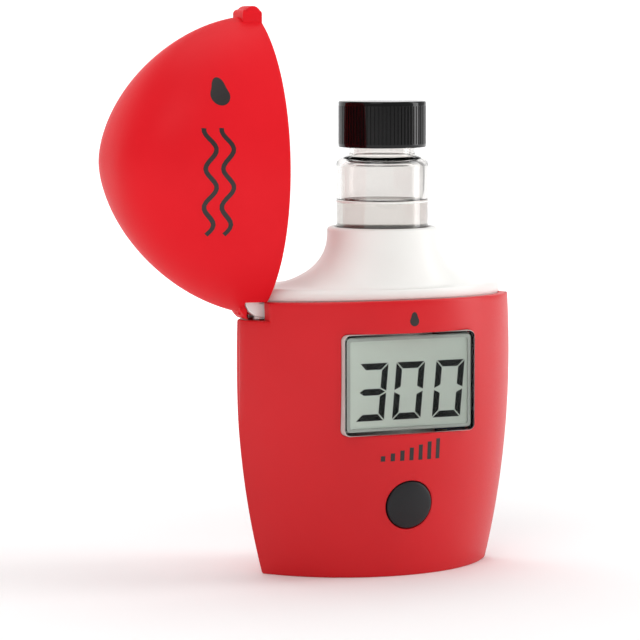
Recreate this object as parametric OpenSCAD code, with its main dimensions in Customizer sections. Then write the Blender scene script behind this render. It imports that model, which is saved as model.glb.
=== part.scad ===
// Pocket digital water tester: a lens-shaped two-part case with a display and one
// button, a white photometer housing with a neck that takes a glass sample vial,
// and a domed lid that hinges at one end of the case.
// Millimetres. X runs across the case, Y to the back, Z up. The origin is the
// middle of the base, on the surface that the tester stands on.

/* [Case] */
// Width of the case between its two tips, where it is widest
body_w = 61.2; // [58:0.1:74]
// Depth of the case at its widest
body_d = 37.6; // [36:0.1:46]
// Depth of the case at its base
base_d = 28; // [26:0.1:34]
// Height of the case's top edge at its tips
body_h = 55.3; // [54:0.1:67]
// Height of the widest point of the case
wide_z = 43; // [40:0.5:50]
// How much higher the top edge is halfway along the case
seam_arch = 0.75; // [0.3:0.05:1.5]
// Wall of the two case shells
wall = 1.8; // [1.4:0.1:2.2]
// How much each pointed tip is blunted
tip_blunt = 0.5; // [0.3:0.1:1]
// Thickness of the case floor
floor_t = 3.2; // [3:0.1:4]

/* [Lid] */
// Height of the lid's crown over the case's top edge
lid_h = 32.4; // [31:0.1:39]
// Wall of the lid
lid_wall = 1.3; // [1.1:0.1:1.8]
// Gap between the lid's rim and the case when closed
lid_gap = 0.2; // [0.15:0.05:0.4]
// Distance of the hinge axis from the case's tip
hinge_in = 4.5; // [4.2:0.1:5]
// Height of the hinge axis over the case's top edge
hinge_up = 0.8; // [0.6:0.1:1.2]
// Angle that the lid stands open
open_deg = 90; // [80:1:95]
// Diameter of the hinge pin
pin_d = 2; // [1.6:0.1:2.4]
// Radial clearance of the lid's knuckle on the pin
pin_clear = 0.05; // [0.02:0.01:0.1]
// Radius of the white hinge bosses
boss_r = 3.7; // [3.2:0.1:3.8]

/* [Housing and neck] */
// Height of the neck's rim over the case's top edge
neck_h = 14.7; // [13:0.1:17]
// Height of the white deck over the case's top edge
deck_up = 2.9; // [2:0.1:3.4]
// Wall of the collar around the vial
collar_wall = 1.6; // [1.2:0.1:2]
// Wall of the well tube inside the case
tube_wall = 0.8; // [0.7:0.1:1]
// How far the well's floor is below the case's top edge
well_drop = 32.3; // [31:0.1:33.5]

/* [Vial] */
// Outer diameter of the glass vial
vial_d = 18.6; // [16:0.1:19.6]
// Glass thickness
glass_t = 1; // [0.8:0.1:1.2]
// Clearance of the vial in its well
vial_clear = 0.3; // [0.2:0.05:0.4]
// How far the vial's axis is in front of the middle of the case
vial_front = 3.5; // [3.2:0.1:3.6]
// Height of the glass body from its foot to its shoulder
vial_len = 39.8; // [36:0.1:42]
// How far the vial's foot is below the case's top edge while the lid is open
vial_drop = 12.3; // [11.4:0.1:13]
// Travel of the sprung seat from lid open to lid closed
seat_travel = 15.5; // [15:0.1:16]
// Height of the sample over the vial's inner floor
fill_h = 31.2; // [20:0.1:34]
// Outer diameter of the screw cap
cap_d = 17.8; // [16:0.1:18.4]
// Height of the screw cap
cap_h = 9.3; // [8:0.1:10]
// Rise of the cap over one turn of its thread
thread_pitch = 2.4; // [2:0.1:3]

/* [Display and button] */
// Width of the clear window
win_w = 28.5; // [26:0.1:29]
// Height of the clear window
win_h = 20.1; // [17:0.1:20.4]
// How far the window's middle is below the case's top edge
win_drop = 15.95; // [15:0.05:17]
// How far the window's face is behind the case's foremost point
win_back = 1.1; // [0.6:0.1:1.2]
// Diameter of the button
button_d = 9.7; // [8:0.1:11]
// Height of the button's middle
button_z = 14.75; // [14:0.1:16]
// Travel of the button
button_travel = 0.8; // [0.6:0.1:0.9]
// Clearance of the button in its hole
button_clear = 0.2; // [0.15:0.05:0.3]

/* [Battery] */
// Diameter of the AAA cell
cell_d = 10.5; // [10:0.1:10.6]
// Length of the AAA cell's case
cell_len = 43.7; // [42:0.1:44]
// Sideways place of the cell
cell_x = 15.4; // [15.3:0.05:15.6]
// Place of the cell behind the middle of the case
cell_y = 1; // [0.6:0.1:1.4]
// Diameter of the battery cover
cover_d = 12; // [11.9:0.1:12.4]

/* [Hidden] */
e = 0.01;
vial_z = body_h - vial_drop;
well_z = body_h - well_drop;
win_z = body_h - win_drop;
light_z = vial_z - seat_travel + 6.5;

// Lens plan: two arcs of radius R whose centres lie ax_off in front and behind
half_w = body_w / 2;
half_d = body_d / 2;
ax_off = (half_w * half_w - half_d * half_d) / (2 * half_d);
r_wide = half_d + ax_off;
r_drop = half_d - base_d / 2;
r_side = (wide_z * wide_z + r_drop * r_drop) / (2 * r_drop);
function r_at(z) = r_wide - r_side + sqrt(r_side * r_side - (z - wide_z) * (z - wide_z));
function half_depth(x, z, inset = 0) =
  sqrt(pow(r_at(z) - inset, 2) - x * x) - ax_off;
function half_width(z, inset = 0) = sqrt(pow(r_at(z) - inset, 2) - ax_off * ax_off);
seam_r = (half_w * half_w + seam_arch * seam_arch) / (2 * seam_arch);
seam_z = body_h + seam_arch;
a_seam = half_width(body_h);
b_seam = half_depth(0, body_h);

hinge_x = -half_w + hinge_in;
hinge_z = body_h + hinge_up;
notch_x = hinge_x + 0.2;
notch_z = hinge_z - 4.3;
boss_len = 3;
knuckle = 1.2;
strap_in = boss_r + 0.2;
strap_t = 1.2;

vial_y = -vial_front;
vial_r = vial_d / 2;
well_r = vial_r + vial_clear;
tube_r = well_r + tube_wall;
collar_r = well_r + collar_wall;
neck_z = body_h + neck_h;
deck_z = body_h + deck_up;
deck_inset = lid_wall + 0.35;
shoulder_z = vial_z + vial_len;
glass_neck_r = min(6.7, cap_d / 2 - 1.9);
cap_z = shoulder_z + 3.2;
glass_top = cap_z + cap_h - 2.1;
seat_t = 1.5;

win_y = -(half_depth(0, win_z) - win_back);
win_in = half_depth(win_w / 2, win_z, wall);
btn_tilt = asin((wide_z - button_z) / r_side);
btn_y = -half_depth(0, button_z);
board_y = -10.4;
board_z = floor_t + 0.6;
board_top = well_z - 1.8;
board_half = sqrt(pow(r_at(board_z) - wall - 0.3, 2) - pow(ax_off - board_y, 2)) - 0.1;
cell_z = floor_t + 2.6;
screw_x = 23.2;
screw_zs = [20.5, 45];
screw_seat = 4.9;

red = "#d3202b";
white = "#f3f2ee";
black = "#17181a";
steel = "#c9ccd0";

// One barrel: the arc profile turned about the axis of one face of the case
module barrel(side, inset, z0, z1) {
  translate([0, side * ax_off, 0])
    rotate_extrude($fn = 180)
      intersection() {
        translate([0, z0]) square([r_wide + 5, z1 - z0]);
        translate([r_wide - r_side, wide_z]) circle(r = r_side - inset, $fn = 720);
      }
}
// The case's lens-shaped solid, inset from its outer face
module lens(inset, z0, z1) {
  intersection() {
    barrel(1, inset, z0, z1);
    barrel(-1, inset, z0, z1);
    translate([-half_w + tip_blunt + inset, -half_d - 5, z0 - 1])
      cube([body_w - 2 * tip_blunt - 2 * inset, body_d + 10, z1 - z0 + 2]);
  }
}
// Everything under the arched top edge, lowered by drop
module under_seam(drop = 0) {
  translate([0, 0, seam_z - drop - seam_r])
    rotate([90, 0, 0]) cylinder(r = seam_r, h = body_d + 20, center = true, $fn = 720);
}
module screw_spots() {
  for (sx = [-1, 1], z = screw_zs) translate([sx * screw_x, 0, z]) rotate([-90, 0, 0])
    children();
}
// Posts for the screws, from near the parting plane into the wall
module screw_posts(side) {
  for (sx = [-1, 1], z = screw_zs) let (d = half_depth(screw_x, z))
    translate([sx * screw_x, 0, z]) rotate([-90 * side, 0, 0]) {
      translate([0, 0, side > 0 ? 0 : 0.1]) cylinder(r = 1.9, h = d - 0.6, $fn = 48);
      if (side > 0) translate([0, 0, 3.6]) cylinder(r = 2.9, h = d - 3.6 - 1.2, $fn = 48);
    }
}
module at_vial() { translate([0, vial_y, 0]) children(); }
module at_button() {
  translate([0, btn_y, button_z]) rotate([btn_tilt, 0, 0]) rotate([90, 0, 0]) children();
}
module at_cell() { translate([cell_x, cell_y, 0]) children(); }
module rounded_bar(w, h, r, t) {
  linear_extrude(t) union() {
    square([w - 2 * r, h], center = true);
    square([w, h - 2 * r], center = true);
    for (sx = [-1, 1], sy = [-1, 1])
      translate([sx * (w / 2 - r), sy * (h / 2 - r)]) circle(r = r, $fn = 48);
  }
}
// A front-facing plate: its outline lies in X and Z, its thickness runs to the back
module plate(w, h, r, y0, t, z) {
  translate([0, y0 + t, z]) rotate([90, 0, 0]) rounded_bar(w, h, r, t);
}
module hinge_notch() {
  translate([-half_w - 5, -half_d, notch_z]) cube([notch_x + half_w + 5, body_d, 20]);
}

module shell_half(front) {
  intersection() {
    difference() {
      intersection() { lens(0, 0, seam_z + 1); under_seam(); }
      lens(wall, front ? -1 : floor_t, seam_z + 2);
      hinge_notch();
    }
    translate([-half_w - 5, front ? -half_d - 5 : 0, -1])
      cube([body_w + 10, half_d + 5, body_h + 10]);
  }
}
module front_shell() {
  color(red) difference() {
    union() {
      difference() {
        shell_half(true);
        translate([-half_w, -half_d - 1, -1]) cube([body_w, half_d + 1.01, 1.0]);
      }
      screw_posts(-1);
    }
    translate([-win_w / 2 - 0.1, -half_d - 2, win_z - win_h / 2 - 0.1])
      cube([win_w + 0.2, 9, win_h + 0.2]);
    at_button() translate([0, 0, -6]) cylinder(d = button_d + 2 * button_clear, h = 12, $fn = 96);
    screw_spots() translate([0, 0, -5]) cylinder(r = 0.8, h = 6, $fn = 32);
  }
}
module rear_shell() {
  color(red) difference() {
    union() {
      shell_half(false);
      intersection() {
        lens(wall + 0.1, 0, floor_t);
        translate([-half_w, -half_d, 0]) cube([body_w, half_d + 1, floor_t]);
      }
      screw_posts(1);
      at_cell() translate([0, 0, floor_t - 0.5]) intersection() {
        cylinder(d = cell_d + 2, h = 3.5, $fn = 96);
        translate([-cell_x, -cell_y, 0]) lens(wall - 0.4, 0, 12);
      }
    }
    at_cell() translate([0, 0, -1]) cylinder(d = cell_d + 0.5, h = 12, $fn = 96);
    at_cell() translate([0, 0, -1]) cylinder(d = cover_d + 0.2, h = 3.2, $fn = 96);
    screw_spots() translate([0, 0, -1]) cylinder(r = 1.15, h = half_d, $fn = 32);
    screw_spots() translate([0, 0, screw_seat]) cylinder(r = 2.1, h = half_d, $fn = 48);
  }
}

// Rings of points make the neck's flare and the lid's dome
function lens_y(u, a, b) = let (c = (a * a - b * b) / (2 * b), r = b + c)
  sqrt(max(0, r * r - u * u * a * a)) - c;
function flare(t) = 1 - sqrt(max(0, 1 - pow(t, 2.4)));
flare_z = neck_z - 1 - deck_z;
foot_a = half_width(deck_z, deck_inset) - 0.7;
foot_b = half_depth(0, deck_z, deck_inset) - 0.3;
ring_n = 48;
flare_ts = [for (i = [0:9]) sin(90 * i / 9) * 0.99];
// One ring of the neck: the collar's circle blended into the deck's outline
function neck_ring(t) = let (g = flare(t), z = neck_z - 1 - flare_z * t)
  [for (j = [0:ring_n - 1]) let (q = 360 * j / ring_n, side = sin(q) < 0 ? -1 : 1)
    [(1 - g) * collar_r * cos(q) + g * foot_a * cos(q),
     (1 - g) * (vial_y + collar_r * sin(q)) + g * side * lens_y(cos(q), foot_a, foot_b), z]];
// A closed solid through a stack of rings, with flat ends
module stack(rings) {
  m = len(rings);
  n = len(rings[0]);
  polyhedron(
    points = [for (r = rings) each r],
    faces = concat(
      [[for (j = [0:n - 1]) j]],
      [for (i = [0:m - 2], j = [0:n - 1]) let (k = (j + 1) % n)
        each [[i * n + j, (i + 1) * n + j, (i + 1) * n + k],
              [i * n + j, (i + 1) * n + k, i * n + k]]],
      [[for (j = [n - 1:-1:0]) (m - 1) * n + j]]),
    convexity = 4);
}
rim_r = 0.7;
function rim_ring(q) = [for (j = [0:ring_n - 1]) let (
    a = 360 * j / ring_n, r = collar_r - rim_r + rim_r * cos(q))
  [r * cos(a), vial_y + r * sin(a), neck_z - rim_r + rim_r * sin(q)]];
module neck_loft() {
  n = len(flare_ts) - 1;
  stack(concat([[for (p = neck_ring(flare_ts[n])) [p[0], p[1], deck_z - 1.2]]],
    [for (i = [n:-1:0]) neck_ring(flare_ts[i])], [for (q = [0:22.5:90]) rim_ring(q)]));
}
boss_w = boss_len - knuckle - 0.15;
module housing() {
  color(white) difference() {
    union() {
      neck_loft();
      difference() {
        union() {
          // the ledge lies over the shells' top edges, and the skirt inside them
          difference() { lens(deck_inset, body_h - 1, deck_z); under_seam(-0.1); }
          lens(wall + 0.15, deck_z - 7, deck_z - 1);
        }
        lens(wall + 1.75, deck_z - 8, deck_z - 2);
        translate([-half_w - 5, -half_d, 0]) cube([hinge_x + 0.9 + half_w + 5, body_d, neck_z]);
      }
      at_vial() translate([0, 0, well_z - 1.2])
        cylinder(r = tube_r, h = deck_z - well_z + 2.4, $fn = 144);
      // hinge bosses and the webs that carry them
      for (s = [-1, 1]) translate([hinge_x, s * (knuckle + 0.15 + boss_w / 2), 0]) {
        translate([0, 0, hinge_z]) rotate([90, 0, 0])
          cylinder(r = boss_r, h = boss_w, center = true, $fn = 96);
        translate([-1.2, -boss_w / 2, notch_z + 0.15]) cube([7.2, boss_w, deck_z - notch_z - 0.35]);
      }
    }
    at_vial() translate([0, 0, well_z]) cylinder(r = well_r, h = 60, $fn = 144);
    translate([hinge_x, 0, hinge_z]) rotate([90, 0, 0])
      cylinder(d = pin_d, h = 30, center = true, $fn = 64);
    // room for the lid's knuckle
    translate([hinge_x, 0, hinge_z]) rotate([90, 0, 0])
      cylinder(r = boss_r + 0.15, h = 2 * knuckle + 0.3, center = true, $fn = 96);
    // light ports through the well's wall
    at_light() cylinder(r = 2.2, h = 40, center = true, $fn = 48);
    at_cell() cylinder(d = cell_d + 0.6, h = cell_z + cell_len + 1.6, $fn = 96);
  }
}

// Lid, drawn closed and then turned open about its hinge
module open_lid() {
  translate([hinge_x, 0, hinge_z]) rotate([0, -open_deg, 0])
    translate([-hinge_x, 0, -hinge_z]) children();
}
lean = 1.4;
function full(h, hh, p) = pow(max(0, 1 - pow(h / hh, p)), 1 / p);
function lid_ring(h, inset) = let (
    hh = lid_h - inset,
    a = (a_seam - tip_blunt * 0.6 - inset) * full(h, hh, 1.85),
    b = (b_seam - inset) * full(h, hh, 2.8),
    w = pow(h / hh, 0.8),
    cx = lean * sqrt(h / hh))
  [for (j = [0:ring_n - 1]) let (q = 360 * j / ring_n, u = cos(q),
      y = (1 - w) * lens_y(u, 1, b / a) * a + w * b * abs(sin(q)))
    [cx + a * u, (sin(q) < 0 ? -1 : 1) * (abs(sin(q)) < e ? 0 : y),
     body_h + lid_gap + h]];
lid_hs = [for (i = [0:11]) sin(90 * i / 11.4)];
module dome(inset, drop) {
  r0 = lid_ring(0, inset);
  stack(concat(
    [[for (p = r0) [p[0], p[1], p[2] - drop]]],
    [for (s = lid_hs) [for (p = lid_ring(s * (lid_h - inset), inset))
      [p[0], p[1], p[2] - lid_gap]]]));
}
module at_hinge() { translate([hinge_x, 0, hinge_z]) rotate([90, 0, 0]) children(); }
module lid_outside() {
  difference() {
    dome(0, 3);
    under_seam(-lid_gap);
    // clear of the hinge bosses and of the case while it swings
    translate([-half_w - 5, -half_d, 0]) cube([hinge_x - 0.5 + half_w + 5, body_d, hinge_z + 4.2]);
    at_hinge() cylinder(r = strap_in, h = 2 * boss_len + 0.5, center = true, $fn = 96);
  }
  // strap over the bosses, joined to the knuckle between them
  difference() {
    at_hinge() cylinder(r = strap_in + strap_t, h = 2 * boss_len - 0.4, center = true, $fn = 96);
    at_hinge() cylinder(r = strap_in, h = 2 * boss_len + 5, center = true, $fn = 96);
    translate([-half_w - 5, -10, 0]) cube([40, 20, hinge_z + 3.05]);
    translate([hinge_x + 1.2, -10, 0]) cube([40, 20, 100]);
  }
  // thumb lip at the far end, hooked over the case's tip
  translate([0, 0, body_h]) rotate([90, 0, 0]) linear_extrude(5.2, center = true) {
    translate([a_seam - 1.6, lid_gap + 0.2]) square([3.2, 4.4]);
    translate([a_seam + 0.4, -1.4]) square([1.2, 5]);
    translate([a_seam + 0.2, 2.4]) circle(r = 1.8, $fn = 48);
  }
}
module lid() {
  color(red) open_lid() {
    difference() {
      lid_outside();
      dome(lid_wall, 5);
    }
    difference() {
      union() {
        at_hinge() cylinder(r = boss_r, h = 2 * knuckle, center = true, $fn = 96);
        translate([hinge_x - 3.2, -knuckle, hinge_z + 1.5]) cube([3.2, 2 * knuckle, 3]);
      }
      at_hinge() cylinder(r = pin_d / 2 + pin_clear, h = 30, center = true, $fn = 64);
    }
  }
}
module hinge_pin() {
  color(steel) translate([hinge_x, 0, hinge_z]) rotate([90, 0, 0])
    cylinder(d = pin_d, h = 2 * boss_len, center = true, $fn = 64);
}

// Clear window: a flat face with a skirt that fills the opening's depth
module display_window() {
  color("#cfe3e0", 0.45) difference() {
    union() {
      plate(win_w - 0.8, win_h - 0.8, 1, win_y, 0.41, win_z);
      plate(win_w, win_h, 1.2, win_y + 0.4, -win_y - 0.7 - vial_front - tube_r, win_z);
    }
    plate(win_w - 1.2, win_h - 1.2, 0.8, win_y + 1.2, 9, win_z);
  }
}
lcd_y = win_y + 1.25;
module display_bezel() {
  color("#b9bfb9") difference() {
    plate(win_w - 1.4, win_h - 1.4, 0.7, lcd_y, 0.3, win_z);
    plate(win_w - 2.6, win_h - 2.6, 0.5, lcd_y - 1, 3, win_z);
  }
}
module lcd_glass() {
  color("#aab6aa") plate(win_w - 1.5, win_h - 1.5, 0.3, lcd_y + 0.35, 1.3, win_z);
}
// Seven-segment digits, slightly slanted
digit_w = 6.2;
digit_h = 11.6;
digit_step = 8.35;
bar = 1.55;
module seg_bar(len) {
  polygon([[-len / 2, 0], [-len / 2 + bar / 2, bar / 2], [len / 2 - bar / 2, bar / 2],
    [len / 2, 0], [len / 2 - bar / 2, -bar / 2], [-len / 2 + bar / 2, -bar / 2]]);
}
module digit(bars) {
  l = digit_w - bar - 0.25;
  v = (digit_h - bar) / 2 - 0.25;
  if (bars[0]) translate([0, (digit_h - bar) / 2]) seg_bar(l);
  if (bars[1]) translate([(digit_w - bar) / 2, (digit_h - bar) / 4]) rotate(90) seg_bar(v);
  if (bars[2]) translate([(digit_w - bar) / 2, -(digit_h - bar) / 4]) rotate(90) seg_bar(v);
  if (bars[3]) translate([0, -(digit_h - bar) / 2]) seg_bar(l);
  if (bars[4]) translate([-(digit_w - bar) / 2, -(digit_h - bar) / 4]) rotate(90) seg_bar(v);
  if (bars[5]) translate([-(digit_w - bar) / 2, (digit_h - bar) / 4]) rotate(90) seg_bar(v);
  if (bars[6]) seg_bar(l);
}
three = [1, 1, 1, 1, 0, 0, 1];
zero = [1, 1, 1, 1, 1, 1, 0];
module lcd_segments() {
  color(black) translate([0, lcd_y + 0.35, win_z - 1.5]) rotate([90, 0, 0])
    multmatrix([[1, 0.09, 0, 0], [0, 1, 0, 0], [0, 0, 1, 0], [0, 0, 0, 1]])
      linear_extrude(0.05) {
        translate([0.35 - digit_step, 0]) digit(three);
        for (i = [0, 1]) translate([0.35 + i * digit_step, 0]) digit(zero);
      }
}

module main_board() {
  color("#1d6b3a") difference() {
    translate([-board_half, board_y, board_z]) cube([2 * board_half, 1, board_top - board_z]);
    for (sx = [-1, 1]) translate([sx * (board_half - 2), board_y - 1, board_top - 2.4])
      rotate([-90, 0, 0]) cylinder(r = 0.8, h = 3, $fn = 32);
  }
}
module board_chips() {
  color(black) for (p = [[-6.5, 8, 5, 5, 1.1], [-1, 7, 4, 3, 1.4], [4.2, 7.5, 3, 5, 1],
      [-5, 15, 6, 3, 1.2], [3, 15, 3, 2, 0.8], [8, 9, 2, 4, 0.9]])
    translate([p[0] - p[2] / 2, board_y + 1, p[1] - p[3] / 2]) cube([p[2], p[4], p[3]]);
}
module button_switch() {
  color("#3a3c40") {
    translate([-3, board_y - 2.1, button_z - 3.4]) cube([6, 2.1, 6]);
    translate([0, board_y - 2, button_z - 0.4]) rotate([90, 0, 0])
      cylinder(r = 1.6, h = 0.5, $fn = 48);
  }
}
module button() {
  color(black) at_button() {
    // domed face
    intersection() {
      translate([0, 0, -1.5]) cylinder(d = button_d, h = 4, $fn = 96);
      translate([0, 0, 0.75 - 16]) sphere(r = 16, $fn = 96);
    }
    translate([0, 0, -2.75]) cylinder(r = 1.5, h = 2, $fn = 48);
  }
}

module battery() {
  color("#2b4f8c") at_cell() {
    translate([0, 0, cell_z]) cylinder(d = cell_d, h = cell_len, $fn = 96);
    translate([0, 0, cell_z + cell_len - 0.01]) cylinder(r = 1.9, h = 0.8, $fn = 48);
  }
}
// Conical contact spring under the cell
function coil_pt(t, r0, r1, h, turns) =
  let (q = 360 * turns * t, r = r0 + (r1 - r0) * t) [r * cos(q), r * sin(q), h * t];
module coil(r0, r1, h, turns, wire) {
  n = 14 * turns;
  stack([for (i = [0:n]) let (t = i / n, c = coil_pt(t, r0, r1, h, turns), q = 360 * turns * t)
    [for (k = [0:5]) let (s = 60 * k)
      [c[0] + wire * cos(s) * cos(q), c[1] + wire * cos(s) * sin(q), c[2] + wire * sin(s)]]]);
}
module battery_spring() {
  color(steel) at_cell() translate([0, 0, floor_t + 0.35]) coil(4, 2.2, 1.9, 2, 0.3);
}
module battery_contact() {
  color(steel) at_cell() translate([-3, -4, cell_z + cell_len + 0.85]) cube([6, 8, 0.4]);
}
module battery_cover() {
  color(red) at_cell() difference() {
    union() {
      translate([0, 0, 0.25]) cylinder(d = cover_d, h = 1.3, $fn = 96);
      translate([0, 0, 1.5]) cylinder(d = cell_d - 0.3, h = 1.6, $fn = 96);
    }
    translate([-4.2, -0.7, -1]) cube([8.4, 1.4, 2.1]);
  }
}
module cover_seal() {
  color(black) at_cell() difference() {
    translate([0, 0, 1.6]) cylinder(d = cover_d - 0.2, h = 0.5, $fn = 96);
    translate([0, 0, 1]) cylinder(d = cell_d - 0.1, h = 3, $fn = 96);
  }
}

module at_light() {
  at_vial() rotate([0, 0, -35]) translate([0, 0, light_z]) rotate([0, 90, 0]) children();
}
module light_source() {
  color("#e8e3c4") at_light() {
    translate([0, 0, -tube_r - 3.6]) cylinder(r = 1.9, h = 2.2, $fn = 48);
    translate([0, 0, -tube_r - 4.6]) cylinder(r = 2.4, h = 1.1, $fn = 48);
  }
}
module light_filter() {
  color("#6a4fa0") at_light() translate([-2.5, -2.5, -tube_r - 1.2]) cube([5, 5, 1]);
}
module light_sensor() {
  color("#2b2b33") at_light() translate([-2, -2, tube_r + 0.15]) cube([4, 4, 1.1]);
}
module sensor_board() {
  color("#1d6b3a") at_light() translate([-4, -3, tube_r + 1.3]) cube([8, 6, 0.8]);
}

module vial_seat() {
  color(white) at_vial() difference() {
    union() {
      translate([0, 0, vial_z - seat_t]) cylinder(r = vial_r, h = seat_t, $fn = 144);
      translate([0, 0, vial_z - seat_t - 1.4]) cylinder(r = 4, h = 1.5, $fn = 64);
    }
    translate([0, 0, vial_z - 4]) cylinder(r = 2.2, h = 6, $fn = 48);
  }
}
module seat_spring() {
  color(steel) at_vial() translate([0, 0, well_z + 0.3])
    coil(6.4, 6.4, vial_z - seat_t - well_z - 0.6, 5, 0.28);
}
// Glass: a thin foot, a straight wall, a rounded shoulder and a threaded neck
module vial() {
  color("#dfeeee", 0.35) at_vial() difference() {
    rotate_extrude($fn = 144) {
      translate([0, vial_z]) square([vial_r - 1, 3]);
      translate([vial_r - 1.001, vial_z + 1]) circle(r = 1, $fn = 48);
      translate([0, vial_z + 1]) square([vial_r, vial_len - 2.6]);
      intersection() {
        translate([vial_r - 1.8, shoulder_z - 1.8]) circle(r = 1.8, $fn = 64);
        translate([0, vial_z]) square([vial_r + 1, vial_len]);
      }
      translate([0, shoulder_z - 3]) square([vial_r - 1.8, 3]);
      translate([0, shoulder_z - 1]) square([glass_neck_r, glass_top - shoulder_z + 1]);
      polygon([[0, shoulder_z - 0.2], [glass_neck_r + 1.4, shoulder_z - 0.2],
        [glass_neck_r, shoulder_z + 1.4], [0, shoulder_z + 1.4]]);
    }
    rotate_extrude($fn = 144) {
      translate([0, vial_z + 1.5]) square([vial_r - glass_t, vial_len - 4]);
      polygon([[0, shoulder_z - 2.6], [vial_r - glass_t, shoulder_z - 2.6],
        [vial_r - glass_t - 0.8, shoulder_z - 1.2],
        [glass_neck_r - glass_t, shoulder_z - 0.4], [0, shoulder_z - 0.4]]);
      translate([0, shoulder_z - 1]) square([glass_neck_r - glass_t, 30]);
    }
  }
}
module sample() {
  color("#bfe0ea", 0.6) at_vial() translate([0, 0, vial_z + 1.52])
    cylinder(r = vial_r - glass_t - 0.02, h = fill_h - 0.02, $fn = 144);
}
module cap_liner() {
  color(white) at_vial() translate([0, 0, glass_top + 0.02])
    cylinder(r = cap_d / 2 - 1.45, h = 0.6, $fn = 96);
}
module vial_cap() {
  color(black) at_vial() difference() {
    union() {
      translate([0, 0, cap_z]) cylinder(d = cap_d - 0.3, h = cap_h - 0.6, $fn = 144);
      for (i = [0:71]) rotate([0, 0, 5 * i])
        translate([cap_d / 2 - 0.15, 0, cap_z + 0.6]) cylinder(r = 0.15, h = cap_h - 1.6, $fn = 8);
      translate([0, 0, cap_z + cap_h - 0.61]) cylinder(d1 = cap_d - 0.3, d2 = cap_d - 1.5, h = 0.61, $fn = 144);
    }
    translate([0, 0, cap_z - 1]) cylinder(r = glass_neck_r + 0.12, h = 1 + cap_h - 2.1 + 0.02, $fn = 96);
    translate([0, 0, glass_top]) cylinder(r = cap_d / 2 - 1.43, h = 0.65, $fn = 96);
  }
}
module case_screws() {
  color(steel) screw_spots() difference() {
    union() {
      translate([0, 0, -4.4]) cylinder(r = 0.8, h = screw_seat + 5, $fn = 48);
      translate([0, 0, screw_seat + 0.02]) cylinder(r = 1.9, h = 1.2, $fn = 64);
    }
    translate([-1.3, -0.25, screw_seat + 0.6]) cube([2.6, 0.5, 2]);
    translate([-0.25, -1.3, screw_seat + 0.6]) cube([0.5, 2.6, 2]);
  }
}
// Blank label set into the back
module rating_label() {
  color("#d9dadb") intersection() {
    translate([-11, 0, 14]) cube([22, half_d + 5, 22]);
    difference() {
      barrel(-1, -0.12, 5, 50);
      barrel(-1, 0, 4, 51);
    }
  }
}
front_shell();
rear_shell();
housing();
lid();
hinge_pin();
display_window();
display_bezel();
lcd_glass();
lcd_segments();
main_board();
board_chips();
button_switch();
button();
battery();
battery_spring();
battery_contact();
battery_cover();
cover_seal();
light_source();
light_filter();
light_sensor();
sensor_board();
vial_seat();
seat_spring();
vial();
sample();
cap_liner();
vial_cap();
case_screws();
rating_label();
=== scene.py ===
import math

import bmesh
import bpy
from mathutils import Matrix, Vector


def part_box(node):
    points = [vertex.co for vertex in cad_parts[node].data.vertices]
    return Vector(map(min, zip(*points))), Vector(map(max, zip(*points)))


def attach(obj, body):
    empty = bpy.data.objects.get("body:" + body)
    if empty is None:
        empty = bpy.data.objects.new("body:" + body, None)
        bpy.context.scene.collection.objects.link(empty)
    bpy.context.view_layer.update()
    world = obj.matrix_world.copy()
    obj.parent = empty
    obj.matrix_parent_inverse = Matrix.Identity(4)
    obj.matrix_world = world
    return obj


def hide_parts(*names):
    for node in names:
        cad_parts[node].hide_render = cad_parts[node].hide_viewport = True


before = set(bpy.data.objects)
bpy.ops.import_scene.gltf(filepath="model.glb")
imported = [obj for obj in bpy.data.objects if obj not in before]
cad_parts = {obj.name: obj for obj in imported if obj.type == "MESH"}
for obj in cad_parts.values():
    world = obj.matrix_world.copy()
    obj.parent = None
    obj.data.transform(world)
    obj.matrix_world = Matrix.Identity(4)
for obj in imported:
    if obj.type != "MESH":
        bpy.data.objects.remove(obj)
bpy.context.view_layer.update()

# Case shells: a front and a rear half of red ABS, moulded with a fine satin grain and closed on each other
# at the parting line. Four screws from the back hold them. The front has the display opening and the
# button's hole, and the rear has the floor with the battery opening. A notch at the left is for the hinge.
mm = 0.001
case_half_width, case_half_depth, base_half_depth = 30.6, 18.8, 14.0
widest_z, case_top, top_arch = 43.0, 55.3, 0.75
face_axis = (case_half_width**2 - case_half_depth**2) / (2 * case_half_depth)
side_radius = (widest_z**2 + (case_half_depth - base_half_depth) ** 2) / (
    2 * (case_half_depth - base_half_depth)
)
arch_radius = (case_half_width**2 + top_arch**2) / (2 * top_arch)
tip_x, tip_blunt = 30.1, 0.12
face_cells = 52
shell_wall = 1.8
notch_x, notch_floor = -25.9, 51.8


def face_radius(z):
    """Radius of the case's front and back faces at a height, in mm."""
    return (
        case_half_depth + face_axis - side_radius
        + math.sqrt(side_radius**2 - (z - widest_z) ** 2)
    )


def face_point(z, inset, k):
    """One of the points across a face of the case: its x, and how far it is from the parting plane."""
    r = face_radius(z) - inset
    tip = min(tip_x - inset, math.sqrt(r * r - face_axis**2) - tip_blunt)
    turn = math.asin(tip / r) * (2 * k / face_cells - 1)
    return r * math.sin(turn), r * math.cos(turn) - face_axis


def top_edge(x):
    """Height of the case's arched top edge."""
    return case_top + top_arch - arch_radius + math.sqrt(arch_radius**2 - x * x)


def take_up(piece):
    """Leaves one piece selected and active."""
    if bpy.context.object and bpy.context.object.mode != "OBJECT":
        bpy.ops.object.mode_set(mode="OBJECT")
    bpy.ops.object.select_all(action="DESELECT")
    if piece:
        piece.select_set(True)
        bpy.context.view_layer.objects.active = piece
    return piece


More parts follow.
